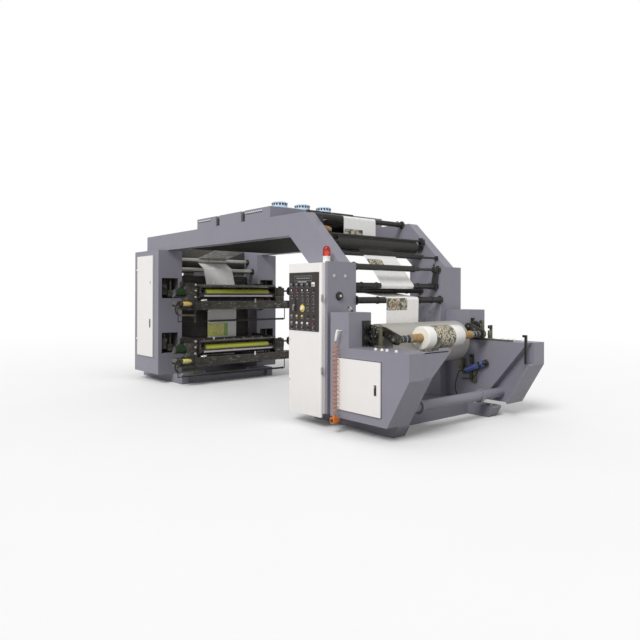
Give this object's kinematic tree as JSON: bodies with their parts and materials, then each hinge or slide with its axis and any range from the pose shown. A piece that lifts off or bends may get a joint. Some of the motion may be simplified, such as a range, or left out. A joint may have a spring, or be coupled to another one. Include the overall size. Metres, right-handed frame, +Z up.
{
  "type": "flexographic printing press",
  "caption": "Stack-type flexographic printing press: print tower with ink decks, drying bridge over a walkway, winding tower and surface winder.",
  "frame": {"origin": "on the floor under the middle of the machine length and of the film width", "axes": "+X along the machine towards the winding end, -Y the operator side, +Z up"},
  "size_m": [7.3604, 2.654, 2.829],
  "materials": {
    "anodised_roller": "anodised aluminium",
    "beacon_red": "clear red lens on a white post",
    "black_roller": "black hard-anodised",
    "black_rubber": "smooth black rubber",
    "cabinet_white": "fine-grained white powder coat",
    "cylinder_blue": "blue anodised tube",
    "dark_steel": "oily dark steel",
    "drum_grey": "dull chromed steel",
    "fan_paint": "pale blue enamel",
    "film_plastic": "white printed film",
    "frame_paint": "semi-gloss blue-grey enamel",
    "gear_grey": "grey moulded switchgear on a galvanised plate",
    "hose_orange": "clear orange hose",
    "ink_roller_rubber": "inked yellow-green rubber",
    "olive_steel": "olive zinc",
    "panel_black": "matt black panel",
    "polished_steel": "ground steel"
  },
  "bodies": {
    "root": {"air_cylinder": "cylinder_blue", "anilox_rollers": "polished_steel", "blow_gun": "cabinet_white", "bridge_floor": "dark_steel", "bridge_guide_rollers": "black_roller", "cabinet_gear": "gear_grey", "coiled_hose": "hose_orange", "control_cabinet": "cabinet_white", "drive_beam": "frame_paint", "drive_housing_cover": "cabinet_white", "drive_low_housing": "frame_paint", "drive_print_frame": "frame_paint", "drive_tower_cover": "cabinet_white", "drive_wind_frame": "frame_paint", "drying_hood": "frame_paint", "film_web": "film_plastic", "front_deck_cheeks": "dark_steel", "front_deck_drives": "dark_steel", "front_ink_pans": "dark_steel", "front_top_bars": "dark_steel", "front_wire_rods": "dark_steel", "hood_fans": "fan_paint", "hook_bracket": "dark_steel", "hose_outlet": "hose_orange", "impression_rollers": "polished_steel", "operator_beam": "frame_paint", "operator_housing_cover": "cabinet_white", "operator_low_housing": "frame_paint", "operator_print_frame": "frame_paint", "operator_wind_frame": "frame_paint", "plate_cylinders": "dark_steel", "print_base": "frame_paint", "rear_deck_cheeks": "dark_steel", "rear_deck_drives": "dark_steel", "rear_ink_pans": "dark_steel", "rear_top_bars": "dark_steel", "rear_wire_rods": "dark_steel", "roll_arms": "dark_steel", "roller_bracket": "dark_steel", "side_rail": "olive_steel", "tie_tube": "frame_paint", "tower_guide_rollers": "anodised_roller", "warning_beacon": "beacon_red", "wind_base": "frame_paint", "wind_guide_rollers": "black_roller"},
    "cabinet_door": {"cabinet_door": "cabinet_white", "control_panel": "panel_black"},
    "tower_door": {"tower_door": "cabinet_white"},
    "rewind_drum": {"rewind_drum": "drum_grey"},
    "film_roll": {"film_roll": "film_plastic", "winding_shaft": "polished_steel"},
    "pull_roller": {"pull_roller": "black_rubber"},
    "front_upper_ink_roller": {"front_upper_ink_roller": "ink_roller_rubber"},
    "front_lower_ink_roller": {"front_lower_ink_roller": "ink_roller_rubber"},
    "rear_upper_ink_roller": {"rear_upper_ink_roller": "ink_roller_rubber"},
    "rear_lower_ink_roller": {"rear_lower_ink_roller": "ink_roller_rubber"}
  },
  "joints": [
    {"name": "cabinet_door_hinge", "type": "hinge", "parent": "root", "child": "cabinet_door", "pos_m": [2.385, -1.285, 1], "axis": [0, 0, 1], "range_deg": [0, 110]},
    {"name": "tower_door_hinge", "type": "hinge", "parent": "root", "child": "tower_door", "pos_m": [-2.895, -1.2575, 1.3], "axis": [0, 0, -1], "range_deg": [0, 110]},
    {"name": "drum_spin", "type": "hinge", "parent": "root", "child": "rewind_drum", "pos_m": [2.695, 0, 0.95], "axis": [0, 1, 0], "continuous": true},
    {"name": "roll_spin", "type": "hinge", "parent": "root", "child": "film_roll", "pos_m": [3.07383, 0, 1.048], "axis": [0, 1, 0], "continuous": true},
    {"name": "pull_spin", "type": "hinge", "parent": "root", "child": "pull_roller", "pos_m": [1.97, 0, 2.205], "axis": [0, 1, 0], "continuous": true},
    {"name": "front_upper_ink_spin", "type": "hinge", "parent": "root", "child": "front_upper_ink_roller", "pos_m": [-1.5196, 0, 1.567], "axis": [0, 1, 0], "continuous": true},
    {"name": "front_lower_ink_spin", "type": "hinge", "parent": "root", "child": "front_lower_ink_roller", "pos_m": [-1.5196, 0, 0.62], "axis": [0, 1, 0], "continuous": true},
    {"name": "rear_upper_ink_spin", "type": "hinge", "parent": "root", "child": "rear_upper_ink_roller", "pos_m": [-3.5704, 0, 1.567], "axis": [0, 1, 0], "continuous": true},
    {"name": "rear_lower_ink_spin", "type": "hinge", "parent": "root", "child": "rear_lower_ink_roller", "pos_m": [-3.5704, 0, 0.62], "axis": [0, 1, 0], "continuous": true}
  ],
  "couplings": [
    {"joint": "roll_spin", "follows": "drum_spin", "ratio": -1.8963},
    {"joint": "pull_spin", "follows": "drum_spin", "ratio": 2.7826},
    {"joint": "front_lower_ink_spin", "follows": "front_upper_ink_spin", "ratio": 1},
    {"joint": "rear_upper_ink_spin", "follows": "front_upper_ink_spin", "ratio": -1},
    {"joint": "rear_lower_ink_spin", "follows": "front_upper_ink_spin", "ratio": -1}
  ]
}
